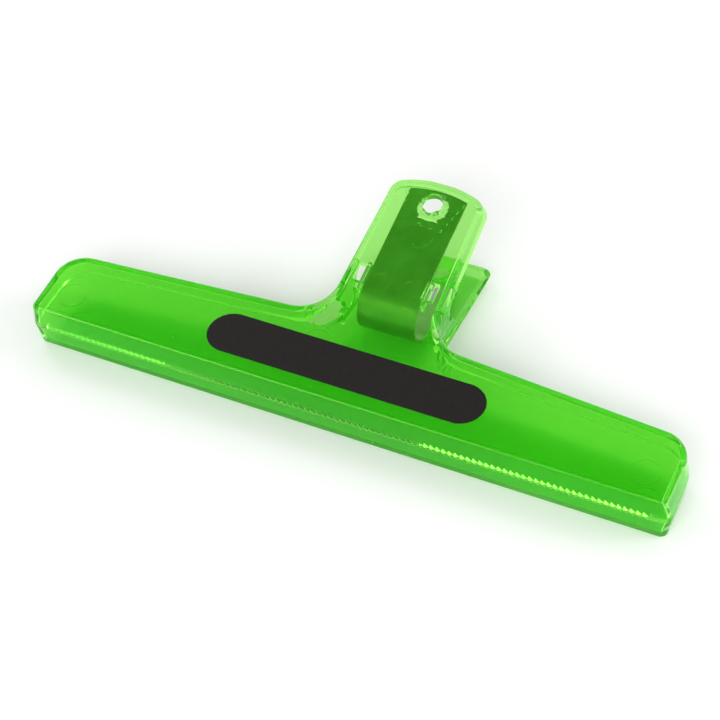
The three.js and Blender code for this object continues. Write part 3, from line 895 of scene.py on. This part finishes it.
def rolled_steel():
    material, shader = new_material("rolled_spring_steel")
    nodes, links = material.node_tree.nodes, material.node_tree.links
    shader.inputs["Metallic"].default_value = 1.0
    place = nodes.new("ShaderNodeTexCoord")
    stretch = nodes.new("ShaderNodeMapping")
    stretch.inputs["Scale"].default_value = (1.0, 0.03, 0.03)
    links.new(place.outputs["Object"], stretch.inputs["Vector"])
    lines = nodes.new("ShaderNodeTexNoise")
    lines.inputs["Scale"].default_value = 4000.0
    links.new(stretch.outputs["Vector"], lines.inputs["Vector"])
    stain = use_group(material, waves, Scale=120.0, Detail=4.0)
    bare = ramp(material, stain.outputs["Value"], STEEL_DARK, STEEL_BRIGHT, (0.35, 0.7))
    links.new(bare, shader.inputs["Base Color"])
    links.new(ramp(material, lines.outputs["Fac"], 0.28, 0.44, (0.3, 0.7)), shader.inputs["Roughness"])
    bump = nodes.new("ShaderNodeBump")
    bump.inputs["Strength"].default_value = 0.15
    bump.inputs["Distance"].default_value = 0.00005
    links.new(lines.outputs["Fac"], bump.inputs["Height"])
    links.new(bump.outputs["Normal"], shader.inputs["Normal"])
    return material


def black_ink():
    material, shader = new_material("black_ink")
    shader.inputs["Specular IOR Level"].default_value = 0.12
    links = material.node_tree.links
    grain = use_group(material, waves, Scale=2500.0, Detail=3.0)
    black = ramp(material, grain.outputs["Value"], INK_DARK, INK_PALE, (0.35, 0.7))
    links.new(black, shader.inputs["Base Color"])
    links.new(ramp(material, grain.outputs["Value"], 0.42, 0.6, (0.3, 0.7)), shader.inputs["Roughness"])
    bump = material.node_tree.nodes.new("ShaderNodeBump")
    bump.inputs["Strength"].default_value = 0.2
    bump.inputs["Distance"].default_value = 0.00002
    links.new(grain.outputs["Value"], bump.inputs["Height"])
    links.new(bump.outputs["Normal"], shader.inputs["Normal"])
    return material


steel, ink = rolled_steel(), black_ink()
for obj, material in (
    (front_shell, green), (rear_shell, green), (spring_strip, steel), (panel_print, ink)
):
    obj.data.materials.clear()
    obj.data.materials.append(material)
    print(obj.name, "wears", material.name)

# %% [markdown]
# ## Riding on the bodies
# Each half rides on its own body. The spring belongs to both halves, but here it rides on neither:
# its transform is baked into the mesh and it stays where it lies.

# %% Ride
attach(front_shell, "front")
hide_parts("front_half")
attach(panel_print, "front")
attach(rear_shell, "rear")
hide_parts("rear_half")
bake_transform(spring_strip)
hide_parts("leaf_spring")

# %% [markdown]
# ## Floor and light
# The clip lies on a white table in even light. A bright pale world does most of the work, because
# it shines through the plastic from all round. Large soft lamps add the gloss on the panels.


# %% Floor
FLOOR_SIZE = 4.0
FLOOR_Z = -0.0002


def pale_floor():
    bm = bmesh.new()
    bmesh.ops.create_grid(bm, x_segments=1, y_segments=1, size=FLOOR_SIZE)
    bmesh.ops.translate(bm, verts=bm.verts[:], vec=(0, 0, FLOOR_Z))
    floor = new_object("floor", bm)
    material, shader = new_material("pale_floor")
    paper = use_group(material, waves, Scale=6.0, Detail=2.0)
    links = material.node_tree.links
    links.new(ramp(material, paper.outputs["Value"], 0.90, 0.92), shader.inputs["Base Color"])
    shader.inputs["Roughness"].default_value = 0.9
    shader.inputs["Specular IOR Level"].default_value = 0.1
    floor.data.materials.append(material)
    return floor


floor = pale_floor()
print("floor at z =", round(floor.data.vertices[0].co.z, 4))

# %% Light
SKY = [(0.0, 1.0), (0.35, 1.1), (0.62, 0.9), (0.85, 0.5), (1.0, 0.4)]  # height, brightness


def studio_world():
    """A pale sky that is bright near the horizon and dimmer overhead, like a tent of white cloth."""
    world = bpy.data.worlds.new("studio")
    world.use_nodes = True
    nodes, links = world.node_tree.nodes, world.node_tree.links
    place = nodes.new("ShaderNodeTexCoord")
    height = nodes.new("ShaderNodeSeparateXYZ")
    links.new(place.outputs["Generated"], height.inputs["Vector"])
    brightness = nodes.new("ShaderNodeFloatCurve")
    curve = brightness.mapping.curves[0]
    top = max(value for _, value in SKY)
    curve.points[0].location = (0.0, SKY[0][1] / top)
    curve.points[1].location = (1.0, SKY[-1][1] / top)
    for at, value in SKY[1:-1]:
        curve.points.new(at, value / top)
    brightness.mapping.update()
    links.new(height.outputs["Z"], brightness.inputs["Value"])
    strength = nodes.new("ShaderNodeMath")
    strength.operation = "MULTIPLY"
    strength.inputs[1].default_value = top
    links.new(brightness.outputs["Value"], strength.inputs[0])
    links.new(strength.outputs[0], nodes["Background"].inputs["Strength"])
    nodes["Background"].inputs["Color"].default_value = (1.0, 1.0, 1.0, 1)
    bpy.context.scene.world = world
    return world


print("world:", studio_world().name)


def soft_lamp(name, at, aim, width, height, power):
    lamp = bpy.data.lights.new(name, "AREA")
    lamp.shape = "RECTANGLE"
    lamp.size, lamp.size_y = width, height
    lamp.energy = power
    obj = bpy.data.objects.new(name, lamp)
    obj.location = at
    obj.rotation_mode = "QUATERNION"
    obj.rotation_quaternion = (Vector(aim) - Vector(at)).to_track_quat("-Z", "Y")
    bpy.context.scene.collection.objects.link(obj)
    return obj


soft_lamp("lamp_front", (0.25, -0.9, 0.7), (0, 0, 0), 0.8, 0.4, 7.0)
soft_lamp("lamp_right", (0.9, 0.25, 0.5), (0, 0, 0), 0.5, 0.4, 3.0)
soft_lamp("lamp_left", (-0.75, 0.35, 0.85), (-0.07, 0, 0), 0.22, 0.22, 1.0)
bpy.context.scene.view_settings.view_transform = "Standard"
bpy.context.scene.cycles.max_bounces = 24
bpy.context.scene.cycles.transmission_bounces = 24
